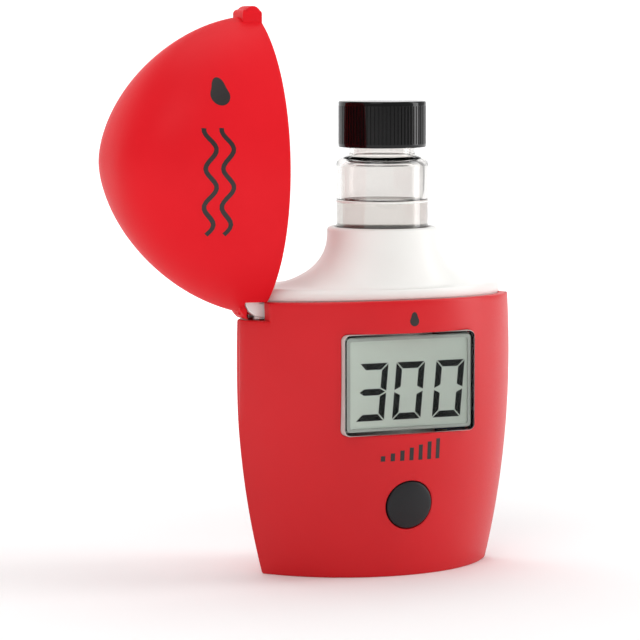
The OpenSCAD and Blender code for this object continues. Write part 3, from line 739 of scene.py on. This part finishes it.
# Water sample: clear water up to the fill line. It wets the glass, so its surface climbs a little there.
sample_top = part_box("sample")[1].z / mm
wet = bore_radius + 0.012
sample_profile = [(0, vial_floor - 0.012)] + bend(wet - 1, vial_floor + 0.988, 1, -90, 0, 6)
sample_profile += [(wet, foot + 20)] + [(r, sample_top - down) for r, down in (
    (wet, 0.1), (8.18, 0.24), (7.9, 0.34), (7.4, 0.4), (6.2, 0.43), (0, 0.43))]
sample = turned("sample", sample_profile)
water, shader = fresh("water_sample")
place = add(water, "ShaderNodeTexCoord").outputs["Object"]
still = add(water, "ShaderNodeTexNoise", {"Scale": 1 / 0.01}, {"Vector": place})
clear = add(water, "ShaderNodeValToRGB", {}, {0: still.outputs[0]})
for stop, code in zip(clear.color_ramp.elements, ("#edebe9", "#f2f0ee")):
    stop.color = linear(code)
water.node_tree.links.new(clear.outputs[0], shader.inputs["Base Color"])
shader.inputs["Roughness"].default_value = 0
shader.inputs["IOR"].default_value = 1.33
shader.inputs["Transmission Weight"].default_value = 1
done(sample, "water", "vial", water, "sample_water", "sample", smooth=50)

# Screw cap: polished black phenolic, moulded with fine upright flutes and a rounded top edge.
# Inside is a bore for the vial's neck and a seat for the liner.
cap_low, cap_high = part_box("vial_cap")
cap_bottom, cap_top = cap_low.z / mm, cap_high.z / mm
cap_middle = Vector((0, vial_middle_y, (cap_bottom + cap_top) / 2))
cap_radius, flute_sides, flute_foot, flute_head = 8.88, 216, cap_bottom + 0.7, cap_top - 0.95
cap = rod(cap_middle, (0, 0, 1), cap_radius, cap_top - cap_bottom, flute_sides)
combine(cap, rod((0, vial_middle_y, mouth - 5), (0, 0, 1), 6.82, 10.02, 96))
combine(cap, rod((0, vial_middle_y, mouth + 0.2), (0, 0, 1), 7.47, 0.9, 96))
round_edges(cap, 0.35, 4, lambda p: p.z > cap_top - 0.01)
round_edges(
    cap, 0.2, 2, lambda p: p.z < cap_bottom + 0.01 and math.hypot(p.x, p.y - vial_middle_y) > 8)
take_up(cap)
bpy.ops.object.mode_set(mode="EDIT")
for height in (flute_foot, flute_head):
    bpy.ops.mesh.select_all(action="SELECT")
    bpy.ops.mesh.bisect(plane_co=(0, 0, height * mm), plane_no=(0, 0, 1))
bpy.ops.mesh.select_mode(type="FACE")
bpy.ops.mesh.select_all(action="DESELECT")
mesh = bmesh.from_edit_mesh(cap.data)
for face in mesh.faces:
    middle = face.calc_center_median() / mm
    if math.hypot(middle.x, middle.y - vial_middle_y) > 8.5 and flute_foot < middle.z < flute_head:
        turn = math.atan2(middle.y - vial_middle_y, middle.x) / (2 * math.pi) * flute_sides
        face.select_set(int(turn % flute_sides) % 3 == 0)
bmesh.update_edit_mesh(cap.data)
bpy.ops.mesh.inset(thickness=0.05 * mm, depth=-0.16 * mm, use_individual=True)
bpy.ops.mesh.select_mode(type="VERT")
bpy.ops.object.mode_set(mode="OBJECT")
phenolic, shader = fresh("polished_phenolic")
place = add(phenolic, "ShaderNodeTexCoord").outputs["Object"]
smear = add(phenolic, "ShaderNodeTexNoise", {"Scale": 1 / 0.004, "Detail": 4.0}, {"Vector": place})
gloss = add(phenolic, "ShaderNodeMapRange", {"To Min": 0.06, "To Max": 0.16}, {0: smear.outputs[0]})
phenolic.node_tree.links.new(gloss.outputs[0], shader.inputs["Roughness"])
shader.inputs["Base Color"].default_value = linear("#0b0b0c")
shader.inputs["IOR"].default_value = 1.34
done(cap, "screw_cap", "cap", phenolic, "cap_black", "vial_cap", smooth=25)

# Button: satin black silicone rubber, a shallow dome with a rolled edge on a stem that works the switch.
# It is turned flat and then tipped to stand square on the case's face.
dome_r = 16.0
button_profile = [(0, 0.75)] + [
    (dome_r * math.sin(math.radians(a)), 0.75 - dome_r + dome_r * math.cos(math.radians(a)))
    for a in (2, 4, 6, 8, 10, 12, 14, 15.5)
]
button_profile += bend(4.45, -0.32, 0.4, 62, 0, 5) + [(4.85, -1.5), (1.5, -1.5), (1.5, -2.72), (0, -2.72)]
button = turned("button", button_profile, 96, (0, 0))
button.data.transform(
    Matrix.Translation(button_middle * mm)
    @ Matrix.Rotation(button_tilt, 4, "X")
    @ Matrix.Rotation(math.pi / 2, 4, "X")
)
rubber, shader = fresh("silicone_rubber_black")
place = add(rubber, "ShaderNodeTexCoord").outputs["Object"]
grit = add(rubber, "ShaderNodeTexNoise", {"Scale": 1 / (0.3 * mm), "Detail": 3.0}, {"Vector": place})
relief = add(rubber, "ShaderNodeBump", {"Strength": 0.5, "Distance": 0.01 * mm}, {"Height": grit.outputs[0]})
gloss = add(rubber, "ShaderNodeMapRange", {"To Min": 0.42, "To Max": 0.56}, {0: grit.outputs[0]})
rubber.node_tree.links.new(relief.outputs[0], shader.inputs["Normal"])
rubber.node_tree.links.new(gloss.outputs[0], shader.inputs["Roughness"])
shader.inputs["Base Color"].default_value = linear("#17171a")
shader.inputs["IOR"].default_value = 1.41
done(button, "button_dome", "button", rubber, "button_rubber", "button")


# Printed marks: black pad-printed ink, a few hundredths thick. A drop and bars mark the display's panel,
# and waves under a drop mark the lid.
def printed(name, target, body, slot, shapes, smooth=30):
    """Lays flat shapes over a piece's front, wraps them on it and gives them the ink's thickness."""
    mark = join(*shapes)
    wrap = mark.modifiers.new("wrap", "SHRINKWRAP")
    wrap.target, wrap.wrap_method, wrap.use_project_y = target, "PROJECT", True
    wrap.use_negative_direction, wrap.use_positive_direction = False, True
    wrap.offset = 0.02 * mm
    bpy.ops.object.modifier_apply(modifier="wrap")
    ink = mark.modifiers.new("ink", "SOLIDIFY")
    ink.thickness, ink.offset = 0.03 * mm, 0
    bpy.ops.object.modifier_apply(modifier="ink")
    take_up(mark)
    bpy.ops.object.mode_set(mode="EDIT")
    bpy.ops.mesh.select_all(action="SELECT")
    bpy.ops.mesh.normals_make_consistent(inside=False)
    bpy.ops.object.mode_set(mode="OBJECT")
    return done(mark, name, body, ink_black, slot, smooth=smooth)


def drop(x, z, radius):
    """A filled water drop, in front of everything."""

    def place(i, j):
        a = 2 * math.pi * i / 48
        r = radius * (1 + 0.85 * max(0, math.sin(a)) ** 7) * j / 6
        return x + r * math.cos(a), -40, z + r * math.sin(a)

    return skin("drop", 48, 6, place, caps=False)


def stroke(points, width):
    """A line of ink along points (x, z)."""

    def place(i, j):
        a, b = points[max(i - 1, 0)], points[min(i + 1, len(points) - 1)]
        along = Vector((b[0] - a[0], b[1] - a[1])).normalized()
        off = (j - 0.5) * width
        return points[i][0] - along.y * off, -40, points[i][1] + along.x * off

    return skin("stroke", len(points) - 1, 1, place, False, False)


ink_black, shader = fresh("pad_printed_ink")
place = add(ink_black, "ShaderNodeTexCoord").outputs["Object"]
speck = add(ink_black, "ShaderNodeTexNoise", {"Scale": 1 / (0.25 * mm)}, {"Vector": place})
tint = add(ink_black, "ShaderNodeValToRGB", {}, {0: speck.outputs[0]})
for stop, code in zip(tint.color_ramp.elements, ("#1a1313", "#241b1b")):
    stop.color = linear(code)
ink_black.node_tree.links.new(tint.outputs[0], shader.inputs["Base Color"])
shader.inputs["Roughness"].default_value = 0.45
panel = [drop(0.2, 51.9, 1.0)]
panel += [
    stroke([(x + 0.9 * i / 8, 24.5 + 0.25 * k) for i in range(9)], 1.1 + 0.5 * k)
    for k, x in enumerate((-6.6, -4.6, -2.6, -0.6, 1.4, 3.4, 5.4))
]
printed("panel_marks", bpy.data.objects["case_front"], "case", "shell_red", panel)
waves = [
    stroke([(-42.5 + 1.1 * math.sin(t * 0.55) + k * 3.4, 70 + t * 0.65) for t in range(33)], 0.9)
    for k in (0, 1)
]
printed("lid_marks", bpy.data.objects["lid_dome"], "lid", "lid_red", [drop(-39.5, 97.0, 1.9)] + waves)

# Works: what is inside the case and under it. Each keeps its CAD shape and has the finish of the real thing:
# etched circuit boards, moulded packages, plated wire and strip, a wrapped AAA cell, and zinc-plated screws.
def mottled(name, deep, pale, size, roughness, metallic=0.0, ior=1.5, stretch=(1, 1, 1)):
    finish, shader = fresh(name)
    place = add(finish, "ShaderNodeTexCoord").outputs["Object"]
    along = add(finish, "ShaderNodeMapping", {"Scale": stretch}, {"Vector": place})
    spots = add(
        finish, "ShaderNodeTexNoise", {"Scale": 1 / (size * mm), "Detail": 3.0}, {"Vector": along.outputs[0]}
    )
    tint = add(finish, "ShaderNodeValToRGB", {}, {0: spots.outputs[0]})
    tint.color_ramp.elements[0].position, tint.color_ramp.elements[1].position = 0.35, 0.65
    for stop, code in zip(tint.color_ramp.elements, (deep, pale)):
        stop.color = linear(code)
    gloss = add(
        finish, "ShaderNodeMapRange", {"To Min": roughness - 0.06, "To Max": roughness + 0.08},
        {0: spots.outputs[0]},
    )
    finish.node_tree.links.new(tint.outputs[0], shader.inputs["Base Color"])
    finish.node_tree.links.new(gloss.outputs[0], shader.inputs["Roughness"])
    shader.inputs["Metallic"].default_value = metallic
    shader.inputs["IOR"].default_value = ior
    return finish


solder_mask, shader = fresh("solder_mask_green")
place = add(solder_mask, "ShaderNodeTexCoord").outputs["Object"]
laid = add(solder_mask, "ShaderNodeMapping", {"Rotation": (math.pi / 2, 0, 0)}, {"Vector": place})
tracks = add(solder_mask, "ShaderNodeTexBrick", {
    "Scale": 1 / (8 * mm), "Mortar Size": 0.04, "Color1": linear("#14573a"), "Color2": linear("#11492f"),
    "Mortar": linear("#2c7d53")}, {"Vector": laid.outputs[0]})
solder_mask.node_tree.links.new(tracks.outputs[0], shader.inputs["Base Color"])
shader.inputs["Roughness"].default_value = 0.35
plated_wire = mottled("nickel_plated_wire", "#b9bcc0", "#d2d4d6", 0.4, 0.25, 1.0, 1.5, (1, 1, 0.2))
works = {
    "main_board": solder_mask,
    "sensor_board": solder_mask,
    "board_chips": mottled("moulded_epoxy", "#151517", "#1f1f22", 0.3, 0.55),
    "button_switch": mottled("moulded_nylon", "#222326", "#2b2c30", 0.4, 0.5),
    "battery": mottled("printed_shrink_wrap", "#27456f", "#30517f", 6, 0.3, 0.0, 1.5, (1, 1, 0.05)),
    "battery_spring": plated_wire,
    "seat_spring": plated_wire,
    "battery_contact": mottled("nickel_strip", "#c3beb2", "#d3cfc4", 0.5, 0.3, 1.0),
    "battery_cover": case_abs,
    "cover_seal": mottled("nitrile_rubber", "#141414", "#1e1e1e", 0.3, 0.6),
    "light_source": mottled("clear_cast_epoxy", "#e6e0c6", "#efead5", 1.0, 0.12),
    "light_filter": mottled("interference_filter", "#54408c", "#7a62b5", 1.5, 0.08),
    "light_sensor": mottled("photocell_resin", "#15151c", "#20202a", 0.5, 0.2),
    "vial_seat": mottled("moulded_acetal", "#e8e7e2", "#f0efeb", 0.6, 0.4),
    "cap_liner": mottled("foamed_polyethylene", "#e6e5e0", "#f1f0ec", 0.25, 0.7),
    "case_screws": mottled("zinc_plated_steel", "#aeb1b5", "#c9cccf", 0.5, 0.3, 1.0),
    "rating_label": mottled("silver_label_film", "#c9cbcd", "#d6d8da", 0.3, 0.42),
}
for node, finish in works.items():
    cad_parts[node].data.materials.clear()
    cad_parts[node].data.materials.append(finish)

# Floor: a plain sweep of white card that runs level under the tester and curves up far behind it, so that
# there is no horizon. Away from the tester a painted glow lights it, standing in for lamps out of view.
def sweep_place(i, j):
    """A point of the card: level, then round a wide bend, then upright."""
    bend_radius, level = 1500, 2500
    run = -3000 + 10000 * j / 80
    arc = bend_radius * math.pi / 2
    if run < level:
        y, z = run, 0
    elif run < level + arc:
        turn = (run - level) / bend_radius
        y, z = level + bend_radius * math.sin(turn), bend_radius * (1 - math.cos(turn))
    else:
        y, z = level + bend_radius, bend_radius + run - level - arc
    return -5000 + 10000 * i, y, z


floor = skin("studio_floor", 1, 80, sweep_place, False, False)
bpy.ops.object.shade_smooth()
card, shader = fresh("white_card")  # matt white paperboard
place = add(card, "ShaderNodeTexCoord").outputs["Object"]
fibre = add(card, "ShaderNodeTexNoise", {"Scale": 1 / 0.3}, {"Vector": place})
tint = add(card, "ShaderNodeValToRGB", {}, {0: fibre.outputs[0]})
for stop, code in zip(tint.color_ramp.elements, ("#fafafa", "#fdfdfd")):
    stop.color = linear(code)
card.node_tree.links.new(tint.outputs[0], shader.inputs["Base Color"])
# Painted light: the card's emission rises with distance from the tester.
far = add(card, "ShaderNodeVectorMath", {"operation": "LENGTH"}, {0: place})
painted_glow = add(card, "ShaderNodeMapRange", {
    "interpolation_type": "SMOOTHSTEP", "From Min": 0.04, "From Max": 0.5, "To Min": 0.0, "To Max": 0.6},
    {0: far.outputs["Value"]})
card.node_tree.links.new(painted_glow.outputs[0], shader.inputs["Emission Strength"])
shader.inputs["Emission Color"].default_value = (1, 1, 1, 1)
shader.inputs["Roughness"].default_value = 0.9
shader.inputs["Specular IOR Level"].default_value = 0.1
floor.data.materials.append(card)

# Light: an even white room, a large softbox from the left front above, one from the right and one overhead.
# The right one is narrow and upright, and lightens the case's right side.
world = bpy.data.worlds.new("studio")
bpy.context.scene.world = world
world.use_nodes = True
sky = world.node_tree.nodes["Background"]
sky.inputs["Color"].default_value = (1, 1, 1, 1)
sky.inputs["Strength"].default_value = 0.45


def diffuser(name, place, aim, size, power):
    """A square softbox in metres and watts, turned to a point."""
    take_up(None)
    bpy.ops.object.light_add(type="AREA", location=place)
    lamp = bpy.context.object
    lamp.name = name
    lamp.data.shape, lamp.data.size, lamp.data.size_y = "RECTANGLE", size[0], size[1]
    lamp.data.energy = power
    lamp.rotation_euler = (Vector(aim) - Vector(place)).to_track_quat("-Z", "Y").to_euler()


diffuser("key_left_above", (-0.7, -0.75, 1.0), (-0.01, 0, 0.06), (0.7, 0.7), 4.6)
diffuser("edge_right", (0.85, -0.25, 0.35), (0, 0, 0.04), (0.35, 0.9), 4)
diffuser("top", (0.05, 0.25, 1.2), (0, 0, 0.05), (0.9, 0.9), 4.6)

# Camera: a long lens from the front left, a little above the case.
target, camera_distance = Vector((0, 0, 0.05)), 0.6549
round_turn, up_turn = math.radians(-24.47), math.radians(5.49)
back = Vector((
    math.sin(round_turn) * math.cos(up_turn), -math.cos(round_turn) * math.cos(up_turn), math.sin(up_turn)))
take_up(None)
bpy.ops.object.camera_add(
    location=target + back * camera_distance, rotation=(-back).to_track_quat("-Z", "Y").to_euler())
camera = bpy.context.object
camera.data.lens, camera.data.sensor_width = 180.5, 36
camera.data.shift_x, camera.data.shift_y = -0.0860, 0.0042
camera.data.clip_start, camera.data.clip_end = 0.05, 30
bpy.context.scene.camera = camera
bpy.context.scene.view_settings.view_transform = "Standard"
